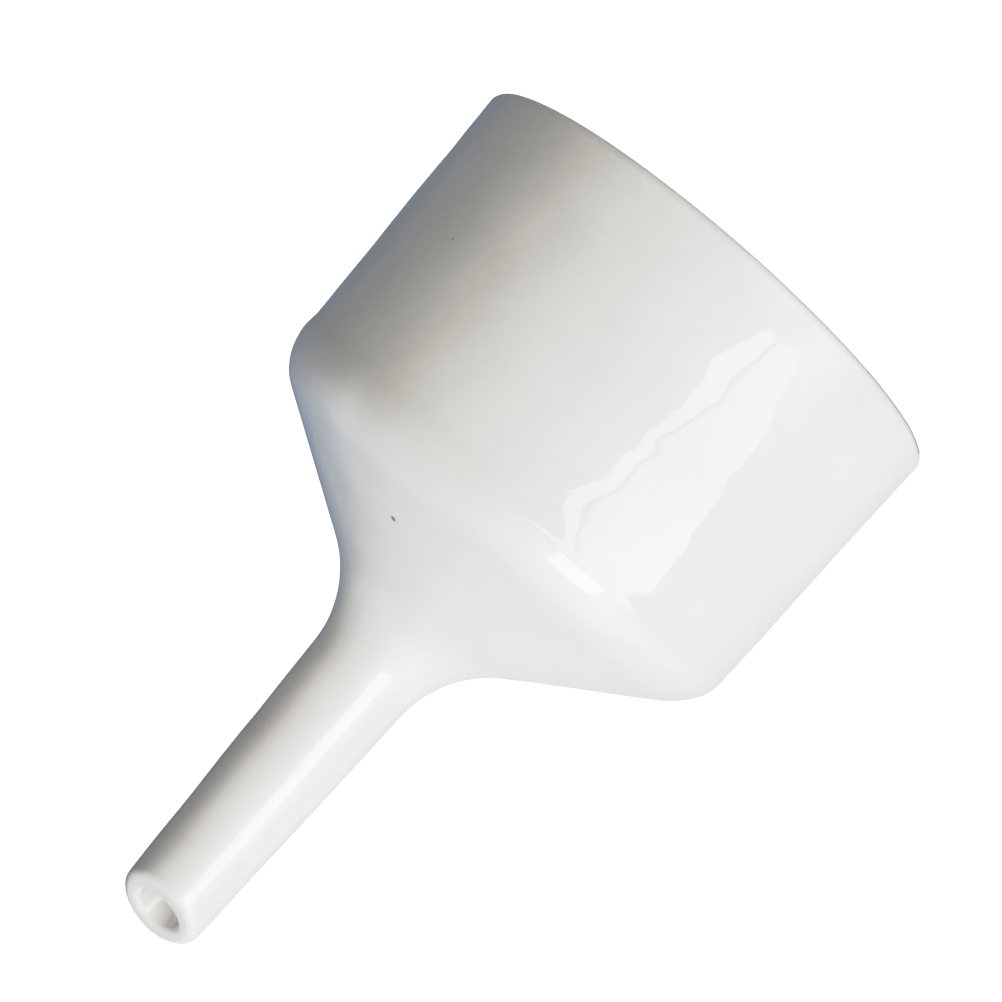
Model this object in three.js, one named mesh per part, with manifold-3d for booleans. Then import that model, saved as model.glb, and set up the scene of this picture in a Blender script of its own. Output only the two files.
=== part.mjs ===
// A porcelain Büchner funnel: bowl, perforated plate, collecting cone and stem.
// Millimetres, +Z up, mouth upwards. The origin is on the bowl's axis, at the
// level of the stem's lowest point.
import * as THREE from 'three';
import { mergeVertices } from 'three/addons/utils/BufferGeometryUtils.js';
import Module from 'manifold-3d';

const wasm = await Module();
wasm.setup();

// Heights above the stem's lowest point.
const rimZ = 156.2;
const seatZ = 106;
const bowlSeamZ = 104.1;
const shoulderZ = 97.4;
const neckZ = 72.9;
const stemSeamZ = 54.5;

// Outside radii, and the thickness of the thrown walls and of the heavier stem.
const rimRadius = 50;
const neckRadius = 11;
const wall = 3.5;
const stemWall = 4.1;

// How far each outside wall leans from upright.
const bowlDraft = THREE.MathUtils.degToRad(1.44);
const stemDraft = THREE.MathUtils.degToRad(2.06);

// Rounded corners.
const rimRounding = 1.2;
const shoulderRounding = 12.2;
const shoulderRoundingInside = 3.4;
const neckRounding = 21;

// The plate and its rings of holes.
const plateThickness = 4.5;
const plateRadius = 46.6;
const holeRadius = 1.2;
const holeRings = 5;
const ringSpacing = 7.6;

// Joints: the clearance between pieces, and the stem's spigot.
const gap = 0.3;
const spigotRadius = 8.55;
const spigotHeight = 6;

// The cone and the stem are joined on a little off the bowl's axis. The cone
// comes back onto the bowl's axis between these two heights.
const stemAxisX = -0.85;
const shiftBottomZ = 93.5;
const shiftTopZ = 101;

// The tip is cut at a slant that faces -Y, turned slightly towards -X.
const tipSlant = THREE.MathUtils.degToRad(36.5);
const tipTurn = THREE.MathUtils.degToRad(6.7);
const spareTip = 2;

// Facets.
const segments = 60;
const holeSides = 10;
const arcStep = THREE.MathUtils.degToRad(9);

const glazedPorcelain = () => new THREE.MeshStandardMaterial({ color: 0xf0f0ee, roughness: 0.12, metalness: 0 });

const bowlOutside = (z) => rimRadius - (rimZ - z) * Math.tan(bowlDraft);
const stemOutside = (z) => neckRadius - (neckZ - z) * Math.tan(stemDraft);
const bore = (z) => stemOutside(z) - stemWall;

// A corner of an outline at radius r and height z, with the radius of its rounding.
const corner = (r, z, rounding = 0) => ({ at: new THREE.Vector2(r, z), rounding });

// Points along the arc that rounds a corner, from the side of the corner before it to that after it.
function roundedCorner(before, { at, rounding }, after) {
  const back = before.at.clone().sub(at).normalize();
  const ahead = after.at.clone().sub(at).normalize();
  const half = back.angleTo(ahead) / 2;
  const centre = back.clone().add(ahead).setLength(rounding / Math.sin(half)).add(at);
  const start = back.clone().multiplyScalar(rounding / Math.tan(half)).add(at);
  const turn = (2 * half - Math.PI) * Math.sign(back.cross(ahead));
  const steps = Math.ceil(Math.abs(turn) / arcStep);
  return Array.from({ length: steps + 1 }, (_, i) => start.clone().rotateAround(centre, (turn * i) / steps));
}

// A round body: a closed outline, anticlockwise in (radius, height), turned about the Z axis.
function turned(corners) {
  const points = corners.flatMap((c, i) => {
    const next = corners[(i + 1) % corners.length];
    return c.rounding ? roundedCorner(corners.at(i - 1), c, next) : [c.at];
  });
  points.push(points[0].clone());
  return new THREE.LatheGeometry(points, segments).rotateX(Math.PI / 2);
}

// The inside corner that matches an outside one, for a wall of even thickness.
function insideCorner(before, outside, after, rounding) {
  const inward = (from, to) => to.at.clone().sub(from.at).normalize().rotateAround(new THREE.Vector2(), Math.PI / 2);
  const first = inward(before, outside);
  const second = inward(outside, after);
  const reach = wall / (1 + first.dot(second));
  const at = first.add(second).multiplyScalar(reach).add(outside.at);
  return corner(at.x, at.y, rounding);
}

// A closed geometry as a solid for boolean work.
function solid(geometry) {
  const bare = geometry.clone();
  bare.deleteAttribute('normal');
  bare.deleteAttribute('uv');
  const merged = mergeVertices(bare, 1e-4);
  return new wasm.Manifold(new wasm.Mesh({
    numProp: 3,
    vertProperties: merged.attributes.position.array,
    triVerts: new Uint32Array(merged.index.array),
  }));
}

function geometryOf(body) {
  const { vertProperties, triVerts } = body.getMesh();
  const geometry = new THREE.BufferGeometry();
  geometry.setAttribute('position', new THREE.BufferAttribute(vertProperties, 3));
  geometry.setIndex(new THREE.BufferAttribute(triVerts, 1));
  geometry.computeVertexNormals();
  return geometry;
}

// The bowl's foot is rebated to fit over the upper part of the plate's edge.
function bowl() {
  const rebate = plateRadius + gap;
  const ledgeZ = seatZ + gap;
  return turned([
    corner(rebate, bowlSeamZ),
    corner(bowlOutside(bowlSeamZ), bowlSeamZ),
    corner(rimRadius, rimZ, rimRounding),
    corner(rimRadius - wall, rimZ, rimRounding),
    corner(bowlOutside(ledgeZ) - wall, ledgeZ),
    corner(rebate, ledgeZ),
  ]);
}

// Upright holes in rings round a hole in the middle, with six more holes in each ring outwards.
function perforatedPlate() {
  const middleZ = seatZ - plateThickness / 2;
  const upright = (radius, height, sides) =>
    new THREE.CylinderGeometry(radius, radius, height, sides).rotateX(Math.PI / 2).translate(0, 0, middleZ);
  let plate = solid(upright(plateRadius, plateThickness, segments));
  for (let ring = 0; ring <= holeRings; ring += 1) {
    const count = Math.max(1, 6 * ring);
    for (let i = 0; i < count; i += 1) {
      const drill = upright(holeRadius, 2 * plateThickness, holeSides).translate(ring * ringSpacing, 0, 0);
      plate = plate.subtract(solid(drill.rotateZ((2 * Math.PI * i) / count)));
    }
  }
  return geometryOf(plate);
}

// Slides each level of the cone sideways, from the bowl's axis onto the stem's.
function ontoStemAxis(geometry) {
  const position = geometry.attributes.position;
  for (let i = 0; i < position.count; i += 1) {
    const share = 1 - THREE.MathUtils.smoothstep(position.getZ(i), shiftBottomZ, shiftTopZ);
    position.setX(i, position.getX(i) + stemAxisX * share);
  }
  return geometry;
}

// The cone's top is rebated to carry the plate, and its foot is a socket for the stem's spigot.
function cone() {
  const topZ = bowlSeamZ - gap;
  const ledgeZ = seatZ - plateThickness - gap;
  const footZ = stemSeamZ + gap;
  const socketTopZ = stemSeamZ + spigotHeight + gap;
  const rebate = plateRadius + gap;
  const socket = spigotRadius + gap;
  const foot = corner(stemOutside(footZ), footZ);
  const neck = corner(neckRadius, neckZ, neckRounding);
  const shoulder = corner(bowlOutside(shoulderZ), shoulderZ, shoulderRounding);
  const top = corner(bowlOutside(topZ), topZ);
  return ontoStemAxis(turned([
    foot,
    neck,
    shoulder,
    top,
    corner(rebate, topZ),
    corner(rebate, ledgeZ),
    corner(bowlOutside(ledgeZ) - wall, ledgeZ),
    insideCorner(neck, shoulder, top, shoulderRoundingInside),
    insideCorner(foot, neck, shoulder, neckRounding + wall),
    corner(bore(socketTopZ), socketTopZ),
    corner(socket, socketTopZ),
    corner(socket, footZ),
  ]));
}

// A block whose slanted top face passes through the lowest point of the stem's tip.
function tipCutter() {
  const side = 6 * neckRadius;
  const cutter = new THREE.BoxGeometry(side, side, side).translate(0, 0, -side / 2);
  return cutter.rotateX(-tipSlant).rotateZ(-tipTurn).translate(0, 0, stemOutside(0) * Math.tan(tipSlant));
}

// A tapered tube with a spigot at its upper end.
function stem() {
  const spigotTopZ = stemSeamZ + spigotHeight;
  const tube = turned([
    corner(stemOutside(-spareTip), -spareTip),
    corner(stemOutside(stemSeamZ), stemSeamZ),
    corner(spigotRadius, stemSeamZ),
    corner(spigotRadius, spigotTopZ),
    corner(bore(spigotTopZ), spigotTopZ),
    corner(bore(-spareTip), -spareTip),
  ]);
  return geometryOf(solid(tube).subtract(solid(tipCutter()))).translate(stemAxisX, 0, 0);
}

// One piece of the funnel as a named mesh.
function piece(name, geometry) {
  const mesh = new THREE.Mesh(geometry, glazedPorcelain());
  mesh.name = name;
  return mesh;
}

const funnel = new THREE.Group();
funnel.add(
  piece('bowl', bowl()),
  piece('perforated_plate', perforatedPlate()),
  piece('cone', cone()),
  piece('stem', stem()),
);

export default funnel;
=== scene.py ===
# A glazed porcelain Buchner funnel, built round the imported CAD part: the bowl, the perforated
# plate, the collecting cone and the stem are each remade as a fine mesh under one clear glaze.
# Metres, in the CAD part's frame: +Z up the bowl's axis, mouth upwards.
import math
import random

import bpy
from mathutils import Matrix, Vector, geometry, noise


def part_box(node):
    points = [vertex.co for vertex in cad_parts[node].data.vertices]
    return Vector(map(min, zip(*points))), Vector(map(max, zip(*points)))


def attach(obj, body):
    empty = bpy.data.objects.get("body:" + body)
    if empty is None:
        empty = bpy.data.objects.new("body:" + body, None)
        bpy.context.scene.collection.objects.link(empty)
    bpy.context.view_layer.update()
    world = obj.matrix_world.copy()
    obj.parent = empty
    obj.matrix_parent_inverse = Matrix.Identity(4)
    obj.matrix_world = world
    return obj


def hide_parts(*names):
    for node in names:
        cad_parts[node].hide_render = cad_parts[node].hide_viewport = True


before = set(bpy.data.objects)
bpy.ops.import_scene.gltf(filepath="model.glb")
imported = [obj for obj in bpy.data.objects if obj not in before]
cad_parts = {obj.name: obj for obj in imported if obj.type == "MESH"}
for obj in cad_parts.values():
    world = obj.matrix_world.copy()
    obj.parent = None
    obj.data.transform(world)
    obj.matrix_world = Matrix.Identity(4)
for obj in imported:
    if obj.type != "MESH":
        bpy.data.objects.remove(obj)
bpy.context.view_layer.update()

MM = 0.001
BODY = "root"

# Places read from the CAD part.
BOWL_LOW, BOWL_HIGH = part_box("bowl")
PLATE_LOW, PLATE_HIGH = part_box("perforated_plate")
CONE_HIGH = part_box("cone")[1]
STEM_LOW, STEM_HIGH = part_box("stem")
RIM_Z = BOWL_HIGH.z
RIM_RADIUS = BOWL_HIGH.x
SEAT_Z = PLATE_HIGH.z
PLATE_BOTTOM_Z = PLATE_LOW.z
PLATE_RADIUS = PLATE_HIGH.x
BOWL_SEAM_Z = (BOWL_LOW.z + CONE_HIGH.z) / 2
STEM_AXIS_X = (STEM_LOW.x + STEM_HIGH.x) / 2
SPIGOT_TOP_Z = STEM_HIGH.z

# The pottery's shape.
WALL = 3.5 * MM
STEM_WALL = 4.1 * MM
CLEARANCE = 0.3 * MM
HAIRLINE = 0.001 * MM
SPIGOT_HEIGHT = 6 * MM
SPIGOT_RADIUS = 8.55 * MM
STEM_SEAM_Z = SPIGOT_TOP_Z - SPIGOT_HEIGHT
SHOULDER_Z = RIM_Z - 58.8 * MM
NECK_Z = RIM_Z - 83.3 * MM
NECK_RADIUS = 11 * MM
BOWL_DRAFT = math.tan(math.radians(1.44))
STEM_DRAFT = math.tan(math.radians(2.06))
RIM_ROUNDING = 1.5 * MM
RIM_ROUNDING_INSIDE = 1.0 * MM
SHOULDER_ROUNDING = 12.2 * MM
SHOULDER_ROUNDING_INSIDE = 3.4 * MM
NECK_ROUNDING = 21 * MM
SEAT_FILLET = 1.2 * MM
GLAZE_LIP = 0.03 * MM
GLAZE_LIP_WIDTH = 1.5 * SEAT_FILLET

# The luted joint: the bowl's foot steps a little off the axis, the cone slides on from there to the
# stem's axis, and the smoothed clay leaves the wall a little full around it.
FOOT_SHIFT_X = -0.18 * MM
FOOT_SHIFT_Z = (RIM_Z - 52.2 * MM, RIM_Z - 49.2 * MM)
CONE_SHIFT_Z = (RIM_Z - 61.7 * MM, RIM_Z - 54.2 * MM)
LUTING_FULLNESS = 0.22 * MM
LUTING_RISE_Z = (RIM_Z - 60.2 * MM, RIM_Z - 55.7 * MM)
LUTING_FALL_Z = (RIM_Z - 53.7 * MM, RIM_Z - 49.2 * MM)

# The rim runs down a little towards +X.
RIM_FALL = 0.6 * MM
RIM_FALL_FROM_Z = RIM_Z - 30 * MM

# The slanted tip. Its edges are rounded by the first radius at the lowest point and by the second
# on the side opposite.
TIP_SLANT = math.tan(math.radians(36.5))
TIP_LOW_ANGLE = math.radians(90 - 6.7)
TIP_ROUNDING = (1.1 * MM, 2.9 * MM)
TIP_ROUNDING_INSIDE = (2.0 * MM, 0.8 * MM)

# The plate's holes, pierced by hand a little out of true. The plate's edge is rounded as theirs are.
HOLE_SEED = 7
HOLE_RADIUS = 1.2 * MM
HOLE_RINGS = 5
RING_SPACING = 7.6 * MM
HOLE_WANDER = 0.12 * MM
HOLE_SPREAD = 0.06 * MM
HOLE_ROUNDING = 0.35 * MM

# Slow waves in the fired glaze, always inwards. The face of the rim has its own, shallower ones.
WAVE_DEPTH = 0.34 * MM
LONG_WAVE = 10 * MM
SHORT_WAVE = 3 * MM
SHORT_WAVE_SHARE = 0.2
WAVE_ORIGIN = Vector((7, 41, 29)) * MM
RIM_WAVE_DEPTH = 0.06 * MM
RIM_WAVE_FROM_Z = RIM_Z - 4 * MM

# Mesh fineness.
BODY_SEGMENTS = 256
STEM_SEGMENTS = 128
STEP = 1.2 * MM
ARC_STEPS = 14
HOLE_SIDES = 28
HOLE_EDGE_STEPS = 4
PLATE_GRID = 1.6 * MM
MERGE_DISTANCE = 1e-4 * MM
SHARP_ANGLE = math.radians(40)

# The bare rim is the part of the mouth that faces up, give or take this angle.
BARE_RIM_ANGLE = math.radians(20)

# Camera: level with the shoulder, and rolled so that the funnel's mouth points up to the right.
CAMERA_DISTANCE = 322.5 * MM
CAMERA_Z = RIM_Z - 53.7 * MM
CAMERA_X = -2.1 * MM
AXIS_TILT = math.radians(49.3)
LENS_MM = 64.67
SENSOR_MM = 36


def bowl_outside(z):
    return RIM_RADIUS - (RIM_Z - z) * BOWL_DRAFT


def stem_outside(z):
    return NECK_RADIUS - (NECK_Z - z) * STEM_DRAFT


def bore(z):
    return stem_outside(z) - STEM_WALL


def smoothstep(low, high, value):
    share = min(1.0, max(0.0, (value - low) / (high - low)))
    return share * share * (3 - 2 * share)


# ---- outlines in (radius, height), anticlockwise ----

def corner(radius, z, rounding=0.0):
    return Vector((radius, z)), rounding


def arc_points(before, at, rounding, after):
    """The tangent arc that rounds a corner."""
    back = (before - at).normalized()
    ahead = (after - at).normalized()
    half = back.angle(ahead) / 2
    centre = at + (back + ahead).normalized() * rounding / math.sin(half)
    start = at + back * rounding / math.tan(half) - centre
    turn = math.copysign(math.pi - 2 * half, ahead.cross(back))
    return [centre + Matrix.Rotation(turn * i / ARC_STEPS, 2) @ start for i in range(ARC_STEPS + 1)]


def rounded(corners):
    """The points of each corner: an arc where it has a rounding, and one point where it has none."""
    groups = []
    for i, (at, rounding) in enumerate(corners):
        before = corners[i - 1][0]
        after = corners[(i + 1) % len(corners)][0]
        groups.append(arc_points(before, at, rounding, after) if rounding else [at])
    return groups


def inside_corner(before, outside, after, rounding):
    """The inside corner that matches an outside one, for a wall of even thickness."""
    first = Matrix.Rotation(math.pi / 2, 2) @ (outside[0] - before[0]).normalized()
    second = Matrix.Rotation(math.pi / 2, 2) @ (after[0] - outside[0]).normalized()
    at = outside[0] + (first + second) * WALL / (1 + first.dot(second))
    return corner(at.x, at.y, rounding)


# ---- the pottery's small departures from a turned shape ----

def axis_x(z):
    foot = FOOT_SHIFT_X * (1 - smoothstep(*FOOT_SHIFT_Z, z))
    cone = (STEM_AXIS_X - FOOT_SHIFT_X) * (1 - smoothstep(*CONE_SHIFT_Z, z))
    return foot + cone


def luting(z):
    return LUTING_FULLNESS * smoothstep(*LUTING_RISE_Z, z) * (1 - smoothstep(*LUTING_FALL_Z, z))


def wave(point, depth):
    """How far the glaze dips at a point, from none to the whole depth."""
    place = point - WAVE_ORIGIN
    long_wave = (1 - SHORT_WAVE_SHARE) * noise.noise(place / LONG_WAVE)
    short_wave = SHORT_WAVE_SHARE * noise.noise(place / SHORT_WAVE)
    return depth * (1 - long_wave - short_wave) / 2


def placed(radius, z, angle):
    """The point of the pottery's surface that a turned shape has at this radius, height and angle."""
    spoke = Vector((math.cos(angle), math.sin(angle), 0))
    radius += luting(z) - wave(spoke * radius + Vector((0, 0, z)), WAVE_DEPTH)
    dip = wave(spoke * radius, RIM_WAVE_DEPTH) * smoothstep(RIM_WAVE_FROM_Z, RIM_Z, z)
    dip += RIM_FALL * (1 + math.cos(angle)) / 2 * smoothstep(RIM_FALL_FROM_Z, RIM_Z, z)
    return spoke * radius + Vector((axis_x(z), 0, z - dip))


# ---- meshes ----

def lathe(section, segments):
    """Sweeps the corners that section(angle) gives round the axis, with as many points at each angle."""
    first = rounded(section(0))
    cuts = []
    for here, there in zip(first, first[1:] + first[:1]):
        cuts.append(max(1, math.ceil((there[0] - here[-1]).length / STEP)))
    vertices = []
    for i in range(segments):
        angle = math.tau * i / segments
        groups = rounded(section(angle))
        outline = []
        for here, there, count in zip(groups, groups[1:] + groups[:1], cuts):
            outline += here[:-1]
            outline += [here[-1].lerp(there[0], k / count) for k in range(count)]
        vertices += [placed(*point, angle) for point in outline]
    around = len(vertices) // segments
    faces = []
    for i in range(segments):
        here = i * around
        there = (i + 1) % segments * around
        for j in range(around):
            k = (j + 1) % around
            faces.append((here + j, there + j, there + k, here + k))
    return vertices, faces


def mesh_piece(name, node, vertices, faces, materials):
    """A visible piece that stands for a CAD node."""
    mesh = bpy.data.meshes.new(name)
    mesh.from_pydata(vertices, [], faces)
    for material in materials:
        mesh.materials.append(material)
    mesh.shade_smooth()
    mesh.set_sharp_from_angle(angle=SHARP_ANGLE)
    made = bpy.data.objects.new(name, mesh)
    bpy.context.scene.collection.objects.link(made)
    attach(made, BODY)
    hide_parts(node)
    return made


def bowl_section(_angle):
    seam = BOWL_SEAM_Z + HAIRLINE / 2
    ledge = SEAT_Z + HAIRLINE
    lip = ledge + GLAZE_LIP
    rebate = PLATE_RADIUS + CLEARANCE
    foot = bowl_outside(lip) - WALL
    return [
        corner(rebate, seam),
        corner(bowl_outside(seam), seam),
        corner(RIM_RADIUS, RIM_Z, RIM_ROUNDING),
        corner(RIM_RADIUS - WALL, RIM_Z, RIM_ROUNDING_INSIDE),
        corner(foot, lip, SEAT_FILLET),
        corner(foot - GLAZE_LIP_WIDTH, lip),
        corner(foot - GLAZE_LIP_WIDTH, ledge),
        corner(rebate, ledge),
    ]


def cone_section(_angle):
    top = BOWL_SEAM_Z - HAIRLINE / 2
    ledge = PLATE_BOTTOM_Z - HAIRLINE
    foot = STEM_SEAM_Z + HAIRLINE / 2
    socket_top = SPIGOT_TOP_Z + HAIRLINE
    rebate = PLATE_RADIUS + CLEARANCE
    socket = SPIGOT_RADIUS + CLEARANCE
    foot_corner = corner(stem_outside(foot), foot)
    neck = corner(NECK_RADIUS, NECK_Z, NECK_ROUNDING)
    shoulder = corner(bowl_outside(SHOULDER_Z), SHOULDER_Z, SHOULDER_ROUNDING)
    top_corner = corner(bowl_outside(top), top)
    return [
        foot_corner,
        neck,
        shoulder,
        top_corner,
        corner(rebate, top),
        corner(rebate, ledge),
        corner(bowl_outside(ledge) - WALL, ledge),
        inside_corner(neck, shoulder, top_corner, SHOULDER_ROUNDING_INSIDE),
        inside_corner(foot_corner, neck, shoulder, NECK_ROUNDING + WALL),
        corner(bore(socket_top), socket_top),
        corner(socket, socket_top),
        corner(socket, foot),
    ]


def blended(low_value, high_value, towards_low):
    """Between the tip's two sides, by the cosine of the angle from its lowest point."""
    return (low_value + high_value) / 2 + (low_value - high_value) / 2 * towards_low


def stem_section(angle):
    """The tip's end face slopes by a different amount in each direction from the axis."""
    towards_low = math.cos(angle - TIP_LOW_ANGLE)
    lean = TIP_SLANT * towards_low
    level = STEM_LOW.z + TIP_SLANT * stem_outside(STEM_LOW.z)
    outer_z = (level - lean * stem_outside(0)) / (1 + lean * STEM_DRAFT)
    inner_z = (level - lean * bore(0)) / (1 + lean * STEM_DRAFT)
    seam = STEM_SEAM_Z - HAIRLINE / 2
    return [
        corner(stem_outside(outer_z), outer_z, blended(*TIP_ROUNDING, towards_low)),
        corner(stem_outside(seam), seam),
        corner(SPIGOT_RADIUS, seam),
        corner(SPIGOT_RADIUS, SPIGOT_TOP_Z),
        corner(bore(SPIGOT_TOP_Z), SPIGOT_TOP_Z),
        corner(bore(inner_z), inner_z, blended(*TIP_ROUNDING_INSIDE, towards_low)),
    ]


def circle(centre, radius, sides):
    return [centre + Matrix.Rotation(math.tau * i / sides, 2) @ Vector((radius, 0)) for i in range(sides)]


def hole_places():
    """The centre and radius of each hole, ring by ring."""
    chance = random.Random(HOLE_SEED)
    places = []
    for ring in range(HOLE_RINGS + 1):
        count = max(1, 6 * ring)
        for i in range(count):
            spoke = Matrix.Rotation(math.tau * i / count, 2) @ Vector((ring * RING_SPACING, 0))
            wander = Vector((chance.uniform(-1, 1), chance.uniform(-1, 1))) * HOLE_WANDER
            places.append((spoke + wander, HOLE_RADIUS + chance.uniform(-1, 1) * HOLE_SPREAD))
    return places


def edge_profile():
    """How far each ring of a rounded edge stands off the wall, and how deep below the face it lies."""
    turns = [math.pi / 2 * i / HOLE_EDGE_STEPS for i in range(HOLE_EDGE_STEPS + 1)]
    down = [(HOLE_ROUNDING * (1 - math.sin(a)), HOLE_ROUNDING * (1 - math.cos(a))) for a in turns]
    thickness = SEAT_Z - PLATE_BOTTOM_Z
    return down + [(off, thickness - depth) for off, depth in reversed(down)]


def ring_faces(upper, lower, inwards):
    """The quads between a ring and the one below it, facing the middle of the ring or away from it."""
    quads = []
    for i, _ in enumerate(upper):
        k = (i + 1) % len(upper)
        quad = (upper[i], lower[i], lower[k], upper[k])
        quads.append(quad[::-1] if inwards > 0 else quad)
    return quads


def grid_points(holes):
    """A staggered grid over the plate's face, clear of its rim and its holes."""
    reach = int(PLATE_RADIUS / PLATE_GRID)
    points = []
    for i in range(-reach, reach + 1):
        for j in range(-reach, reach + 1):
            point = Vector((i + j % 2 / 2, j)) * PLATE_GRID
            clear = point.length < PLATE_RADIUS - PLATE_GRID
            if clear and all((point - c).length > r + HOLE_ROUNDING + PLATE_GRID / 3 for c, r in holes):
                points.append(point)
    return points


def face_triangles(points, edges, holes):
    """The triangles of the plate's face, with none across a hole."""
    _, _, triangles, origins, _, _ = geometry.delaunay_2d_cdt(points, edges, [], 0, MERGE_DISTANCE)
    kept = []
    for triangle in triangles:
        a, b, c = (origins[v][0] for v in triangle)
        middle = (points[a] + points[b] + points[c]) / 3
        if all((middle - centre).length > radius + HOLE_ROUNDING for centre, radius in holes):
            kept.append((a, b, c))
    return kept


def plate_mesh():
    """A disc with rounded edges at its rim and at each hole, meshed finely enough to hold the waves."""
    holes = hole_places()
    rounds = [(Vector((0, 0)), PLATE_RADIUS - HOLE_ROUNDING, BODY_SEGMENTS, -1)]
    rounds += [(centre, radius + HOLE_ROUNDING, HOLE_SIDES, 1) for centre, radius in holes]
    flat = []
    edges = []
    for centre, flat_radius, sides, _ in rounds:
        start = len(flat)
        flat += circle(centre, flat_radius, sides)
        edges += [(start + i, start + (i + 1) % sides) for i in range(sides)]
    flat += grid_points(holes)
    top = face_triangles(flat, edges, holes)
    under = len(flat)
    vertices = [Vector((p.x, p.y, z)) for z in (SEAT_Z, PLATE_BOTTOM_Z) for p in flat]
    faces = top + [tuple(under + v for v in reversed(face)) for face in top]
    start = 0
    for centre, flat_radius, sides, inwards in rounds:
        previous = [start + i for i in range(sides)]
        for off, depth in edge_profile()[1:-1]:
            ring = circle(centre, flat_radius - inwards * (HOLE_ROUNDING - off), sides)
            current = [len(vertices) + i for i in range(sides)]
            vertices += [Vector((p.x, p.y, SEAT_Z - depth)) for p in ring]
            faces += ring_faces(previous, current, inwards)
            previous = current
        faces += ring_faces(previous, [under + start + i for i in range(sides)], inwards)
        start += sides
    return [dipped(v) for v in vertices], faces


def dipped(point):
    """The plate's upper face sinks in waves, and its underside stays flat."""
    sink = wave(point, WAVE_DEPTH) / 2 * smoothstep(PLATE_BOTTOM_Z, SEAT_Z, point.z)
    return point - Vector((0, 0, sink))


# ---- materials ----

# The glaze. Scales are in noise cells to the metre.
GLAZE_WHITE = (0.86, 0.857, 0.85, 1)
GLAZE_SHADE = (0.825, 0.82, 0.81, 1)
PIT_COLOUR = (0.36, 0.32, 0.28, 1)
DOT_COLOUR = (0.95, 0.95, 0.94, 1)
CLOUD_SCALE = 60
GRAIN_SCALE = 900
PEEL_SCALE = 320
GRAIN_SHARE = 0.3
GLAZE_ROUGHNESS = (0.02, 0.045)
GLAZE_IOR = 1.5
GLAZE_RELIEF = 0.006 * MM

# Specks lie in the few cells whose random value is above the limit. Their edges are in cell widths.
SPECK_SCALE = 110
SPECK_LIMIT = 0.86
SPECK_EDGE = (0.035, 0.012)

# How strongly the marks colour the glaze, and how far they stand out or sink beside its orange peel.
DOT_STRENGTH = 0.5
SPECK_STRENGTH = 0.35
PIT_STRENGTH = 0.85
MARK_RELIEF = 4

# The bare porcelain of the rim.
BARE_SHADE = (0.80, 0.785, 0.755, 1)
BARE_LIGHT = (0.86, 0.85, 0.83, 1)
BARE_GRAIN_SCALE = 1600
SMUDGE_SCALE = 140
SMUDGE_RANGE = (0.35, 0.7)
BARE_ROUGHNESS = (0.5, 0.7)
BARE_RELIEF = 0.02 * MM

# The part of a noise's range that most of its values lie in.
NOISE_RANGE = (0.3, 0.7)

# Marks in the glaze: azimuth in degrees, distance below the rim, radius, and whether it is dark.
MARKS = (
    (-20.6, 67.2 * MM, 0.75 * MM, True),
    (-46, 26.9 * MM, 0.35 * MM, True),
    (-10, 63.1 * MM, 0.8 * MM, False),
    (-46, 59.8 * MM, 0.6 * MM, False),
    (5.4, 45.8 * MM, 0.5 * MM, False),
    (12.4, 57.5 * MM, 0.45 * MM, False),
    (19.5, 59.8 * MM, 0.45 * MM, False),
    (23.5, 57.8 * MM, 0.45 * MM, False),
)


def add_node(tree, kind, inputs=None, **settings):
    """A new node. Each input is a constant or another node's output."""
    made = tree.nodes.new(kind)
    for name, value in settings.items():
        setattr(made, name, value)
    for name, value in (inputs or {}).items():
        if isinstance(value, bpy.types.NodeSocket):
            tree.links.new(value, made.inputs[name])
        else:
            made.inputs[name].default_value = value
    return made


def ramp(tree, value, low, high, low_out=0.0, high_out=1.0):
    """A smooth step of a value, as a socket."""
    inputs = {"Value": value, "From Min": low, "From Max": high, "To Min": low_out, "To Max": high_out}
    return add_node(tree, "ShaderNodeMapRange", inputs, interpolation_type="SMOOTHSTEP").outputs["Result"]


def math_node(tree, operation, first, second):
    return add_node(tree, "ShaderNodeMath", {0: first, 1: second}, operation=operation).outputs[0]


def noise_node(tree, point, scale, detail):
    inputs = {"Vector": point, "Scale": scale, "Detail": detail}
    return add_node(tree, "ShaderNodeTexNoise", inputs).outputs["Fac"]


def mixed(tree, share, first, second):
    """A mix of two colours. The mix node's colour sockets are its inputs 6 and 7 and its output 2."""
    return add_node(tree, "ShaderNodeMix", {0: share, 6: first, 7: second}, data_type="RGBA").outputs[2]


def add_bump(tree, shader, height, relief):
    bump = add_node(tree, "ShaderNodeBump", {"Height": height, "Strength": 1, "Distance": relief})
    tree.links.new(bump.outputs["Normal"], shader.inputs["Normal"])


def new_material(name):
    """A new material: itself, its node tree, its shader and the socket of the place on the object."""
    material = bpy.data.materials.new(name)
    material.use_nodes = True
    tree = material.node_tree
    point = add_node(tree, "ShaderNodeTexCoord").outputs["Object"]
    return material, tree, tree.nodes["Principled BSDF"], point


def surface_point(azimuth, z):
    """A point of the outside surface, its azimuth turned from -Y towards +X."""
    if z > SHOULDER_Z + SHOULDER_ROUNDING / 2:
        radius = bowl_outside(z)
    else:
        share = (z - NECK_Z) / (SHOULDER_Z - NECK_Z)
        radius = NECK_RADIUS + share * (bowl_outside(SHOULDER_Z) - NECK_RADIUS)
    turn = math.radians(azimuth)
    return Vector((axis_x(z) + radius * math.sin(turn), -radius * math.cos(turn), z))


def glaze_marks(tree, point, dark):
    """A mask of the dark or of the light marks."""
    total = None
    for azimuth, below_rim, radius, is_dark in MARKS:
        if is_dark != dark:
            continue
        inputs = {0: point, 1: surface_point(azimuth, RIM_Z - below_rim)}
        away = add_node(tree, "ShaderNodeVectorMath", inputs, operation="DISTANCE").outputs["Value"]
        mark = ramp(tree, away, radius, radius / 3)
        total = mark if total is None else math_node(tree, "MAXIMUM", total, mark)
    return total


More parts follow.
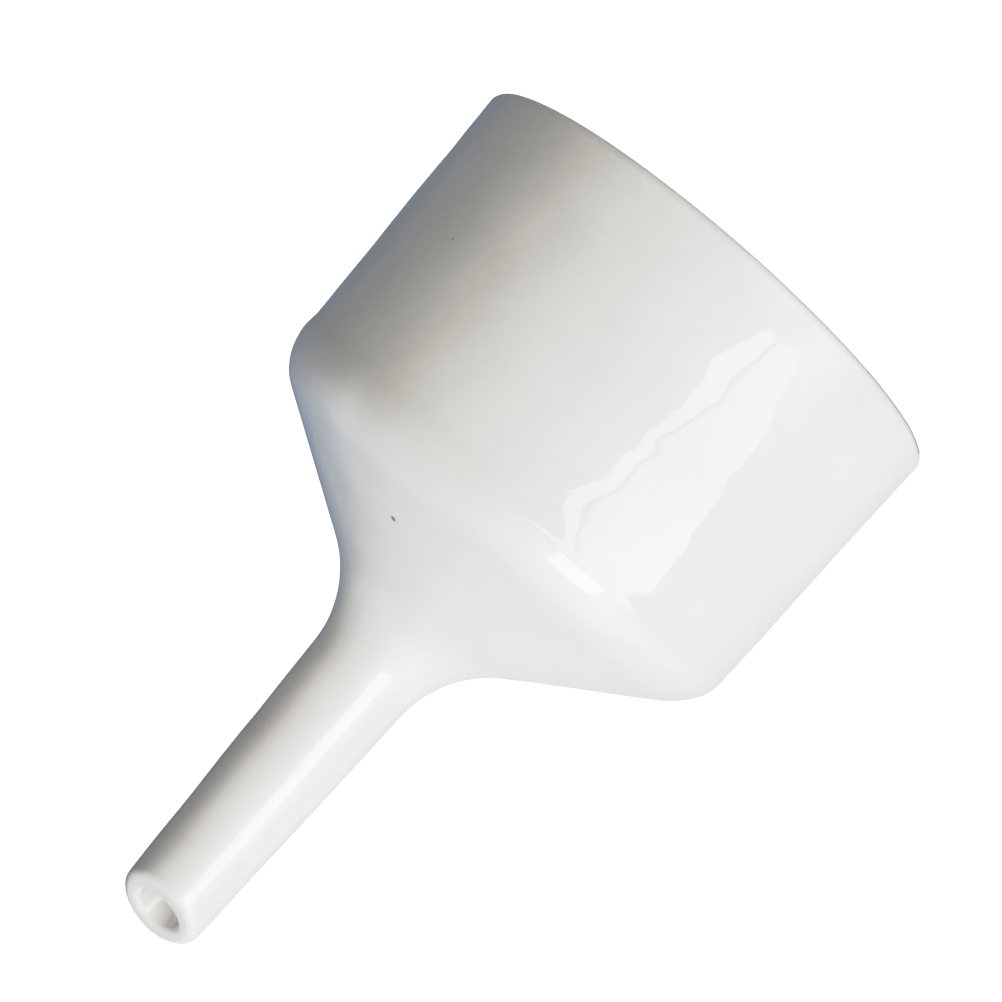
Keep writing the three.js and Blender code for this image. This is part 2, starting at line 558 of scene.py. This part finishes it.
def glaze_specks(tree, point):
    """A mask of small specks scattered all over."""
    cells = add_node(tree, "ShaderNodeTexVoronoi", {"Vector": point, "Scale": SPECK_SCALE}, feature="F1")
    near = ramp(tree, cells.outputs["Distance"], *SPECK_EDGE)
    value = add_node(tree, "ShaderNodeSeparateColor", {"Color": cells.outputs["Color"]}).outputs["Red"]
    return math_node(tree, "MULTIPLY", near, math_node(tree, "GREATER_THAN", value, SPECK_LIMIT))


def glazed_porcelain():
    material, tree, shader, point = new_material("glazed_porcelain")
    cloud = noise_node(tree, point, CLOUD_SCALE, 4)
    grain = math_node(tree, "MULTIPLY", noise_node(tree, point, GRAIN_SCALE, 2), GRAIN_SHARE)
    mottle = math_node(tree, "ADD", math_node(tree, "MULTIPLY", cloud, 1 - GRAIN_SHARE), grain)
    colour = mixed(tree, ramp(tree, mottle, *NOISE_RANGE), GLAZE_SHADE, GLAZE_WHITE)
    dots = glaze_marks(tree, point, False)
    specks = glaze_specks(tree, point)
    pits = glaze_marks(tree, point, True)
    colour = mixed(tree, math_node(tree, "MULTIPLY", dots, DOT_STRENGTH), colour, DOT_COLOUR)
    colour = mixed(tree, math_node(tree, "MULTIPLY", specks, SPECK_STRENGTH), colour, PIT_COLOUR)
    colour = mixed(tree, math_node(tree, "MULTIPLY", pits, PIT_STRENGTH), colour, PIT_COLOUR)
    tree.links.new(colour, shader.inputs["Base Color"])
    tree.links.new(ramp(tree, cloud, *NOISE_RANGE, *GLAZE_ROUGHNESS), shader.inputs["Roughness"])
    shader.inputs["IOR"].default_value = GLAZE_IOR
    marks = math_node(tree, "SUBTRACT", dots, math_node(tree, "MAXIMUM", pits, specks))
    peel = noise_node(tree, point, PEEL_SCALE, 2)
    height = math_node(tree, "ADD", math_node(tree, "MULTIPLY", marks, MARK_RELIEF), peel)
    add_bump(tree, shader, height, GLAZE_RELIEF)
    return material


def bare_porcelain():
    """The wiped rim that the funnel stood on in the kiln."""
    material, tree, shader, point = new_material("bare_porcelain")
    grain = noise_node(tree, point, BARE_GRAIN_SCALE, 4)
    smudge = noise_node(tree, point, SMUDGE_SCALE, 3)
    colour = mixed(tree, ramp(tree, smudge, *SMUDGE_RANGE), BARE_SHADE, BARE_LIGHT)
    tree.links.new(colour, shader.inputs["Base Color"])
    tree.links.new(ramp(tree, grain, *NOISE_RANGE, *BARE_ROUGHNESS), shader.inputs["Roughness"])
    add_bump(tree, shader, grain, BARE_RELIEF)
    return material


# ---- the funnel ----

def wipe_rim(bowl):
    """Gives the top of the rim the bowl's second material."""
    lowest = RIM_Z - RIM_FALL - 2 * RIM_WAVE_DEPTH
    for polygon in bowl.data.polygons:
        if polygon.center.z > lowest and polygon.normal.z > math.cos(BARE_RIM_ANGLE):
            polygon.material_index = 1


glaze = glazed_porcelain()
wipe_rim(mesh_piece("glazed_bowl", "bowl", *lathe(bowl_section, BODY_SEGMENTS), [glaze, bare_porcelain()]))
mesh_piece("glazed_cone", "cone", *lathe(cone_section, BODY_SEGMENTS), [glaze])
mesh_piece("glazed_stem", "stem", *lathe(stem_section, STEM_SEGMENTS), [glaze])
mesh_piece("glazed_plate", "perforated_plate", *plate_mesh(), [glaze])


# ---- the studio ----

AIM = Vector((0, 0, CAMERA_Z))
SHEET_DISTANCE = 2.0
FLOOR_DEPTH = 0.3
FLOOR_SIZE = 8.0
WHITE = 1.2

WARM = (1.05, 0.99, 0.9)
NEUTRAL = (1.0, 1.0, 1.0)
FAINTLY_COOL = (0.91, 1.0, 1.12)
COOL = (0.84, 1.01, 1.25)

# Soft lights all round, each fading out over the spread: azimuth and elevation, strength and tint.
SPREAD = math.radians(50)
SOFT_LIGHTS = (
    (30, 0, 0.95, WARM),
    (-34, 0, 0.6, WARM),
    (45, -42, 1.54, NEUTRAL),
    (45, 42, 0.95, FAINTLY_COOL),
    (120, 0, 0.55, NEUTRAL),
    (135, -42, 0.55, COOL),
    (-90, -60, 0.55, FAINTLY_COOL),
    (-150, 0, 0.31, COOL),
)

# A window and its surroundings, which only the gloss shows: name, strength, and corners as azimuth
# and elevation.
WINDOW = (
    ("window_strip", 3.2, [(29, 9), (35, 9), (24.5, 0), (15, -7), (6, -7), (18, 0)]),
    ("window_panel", 2.6, [(36.5, 8.8), (51, 8.8), (63, 1), (68, -7), (17, -7), (26.5, 0)]),
    ("low_strip", 4.0, [(25, -10), (51, -10), (51, -36), (25, -36)]),
    ("side_card", 0.75, [(115, 14), (178, 14), (178, -75), (115, -75)]),
)

# The picture's contrast: each pair is a brightness and what it becomes.
CONTRAST = ((0.30, 0.23), (0.58, 0.67), (0.80, 0.84))


def direction(azimuth, elevation):
    """Degrees: the azimuth turns from -Y towards +X, and the elevation is above the horizon."""
    turn = math.radians(azimuth)
    rise = math.radians(elevation)
    return Vector((math.sin(turn) * math.cos(rise), -math.cos(turn) * math.cos(rise), math.sin(rise)))


# Lamps that the gloss doesn't show: name, place, diameter, power in watts and colour.
LAMPS = (
    ("overhead", Vector((0, 0, RIM_Z + 0.8)), 0.5, 1.2, (1, 0.97, 0.92)),
    ("behind", AIM + direction(180, 10) * 1.2, 0.4, 7, (1, 0.98, 0.95)),
)


def white_light(name, strength):
    material = bpy.data.materials.new(name)
    material.use_nodes = True
    tree = material.node_tree
    tree.nodes.clear()
    light = add_node(tree, "ShaderNodeEmission", {"Color": (1, 1, 1, 1), "Strength": strength})
    out = add_node(tree, "ShaderNodeOutputMaterial")
    tree.links.new(light.outputs[0], out.inputs["Surface"])
    return material


def stage_sheet(name, corners, material):
    mesh = bpy.data.meshes.new(name)
    mesh.from_pydata(corners, [], [tuple(range(len(corners)))])
    mesh.materials.append(material)
    sheet = bpy.data.objects.new(name, mesh)
    bpy.context.scene.collection.objects.link(sheet)
    return sheet


def window_pane(name, strength, places):
    corners = [AIM + direction(*place) * SHEET_DISTANCE for place in places]
    pane = stage_sheet(name, corners, white_light(name, strength))
    pane.visible_camera = False
    pane.visible_diffuse = False


def studio_light():
    """The soft lights, and plain white where the camera looks past the funnel."""
    world = bpy.data.worlds.new("studio")
    bpy.context.scene.world = world
    world.use_nodes = True
    tree = world.node_tree
    tree.nodes.clear()
    ray = add_node(tree, "ShaderNodeTexCoord").outputs["Generated"]
    total = Vector((0, 0, 0))
    for azimuth, elevation, strength, tint in SOFT_LIGHTS:
        towards = direction(azimuth, elevation)
        facing = add_node(tree, "ShaderNodeVectorMath", {0: ray, 1: towards}, operation="DOT_PRODUCT")
        share = ramp(tree, facing.outputs["Value"], math.cos(SPREAD), 1, 0, strength)
        glow = add_node(tree, "ShaderNodeVectorMath", {0: tint, "Scale": share}, operation="SCALE")
        inputs = {0: total, 1: glow.outputs[0]}
        total = add_node(tree, "ShaderNodeVectorMath", inputs, operation="ADD").outputs[0]
    soft = add_node(tree, "ShaderNodeBackground", {"Color": total, "Strength": 1})
    white = add_node(tree, "ShaderNodeBackground", {"Color": (1, 1, 1, 1), "Strength": WHITE})
    seen = add_node(tree, "ShaderNodeLightPath").outputs["Is Camera Ray"]
    chosen = add_node(tree, "ShaderNodeMixShader", {0: seen, 1: soft.outputs[0], 2: white.outputs[0]})
    out = add_node(tree, "ShaderNodeOutputWorld")
    tree.links.new(chosen.outputs[0], out.inputs["Surface"])


def floor():
    half = FLOOR_SIZE / 2
    corners = [(-half, -half), (half, -half), (half, half), (-half, half)]
    points = [Vector((x, y, STEM_LOW.z - FLOOR_DEPTH)) for x, y in corners]
    sheet = stage_sheet("studio_floor", points, white_light("studio_floor", WHITE))
    sheet.visible_diffuse = False
    sheet.visible_glossy = False
    sheet.visible_shadow = False


def soft_lamp(name, place, diameter, power, colour):
    """A round lamp turned to the funnel."""
    light = bpy.data.lights.new(name, "AREA")
    light.shape = "DISK"
    light.size = diameter
    light.energy = power
    light.color = colour
    lamp = bpy.data.objects.new(name, light)
    lamp.location = place
    lamp.rotation_euler = (place - AIM).to_track_quat("Z", "Y").to_euler()
    lamp.visible_camera = False
    lamp.visible_glossy = False
    bpy.context.scene.collection.objects.link(lamp)


def camera():
    data = bpy.data.cameras.new("camera")
    data.sensor_width = SENSOR_MM
    data.lens = LENS_MM
    eye = bpy.data.objects.new("camera", data)
    right = Vector((math.sin(AXIS_TILT), 0, math.cos(AXIS_TILT)))
    up = Vector((-math.cos(AXIS_TILT), 0, math.sin(AXIS_TILT)))
    back = Vector((0, -1, 0))
    turn = Matrix((right, up, back)).transposed().to_4x4()
    eye.matrix_world = Matrix.Translation((CAMERA_X, -CAMERA_DISTANCE, CAMERA_Z)) @ turn
    bpy.context.scene.collection.objects.link(eye)
    bpy.context.scene.camera = eye


def picture_contrast():
    view = bpy.context.scene.view_settings
    view.view_transform = "Standard"
    view.use_curve_mapping = True
    for before, after in CONTRAST:
        view.curve_mapping.curves[3].points.new(before, after)
    view.curve_mapping.update()


studio_light()
floor()
for lamp in LAMPS:
    soft_lamp(*lamp)
for pane in WINDOW:
    window_pane(*pane)
camera()
picture_contrast()
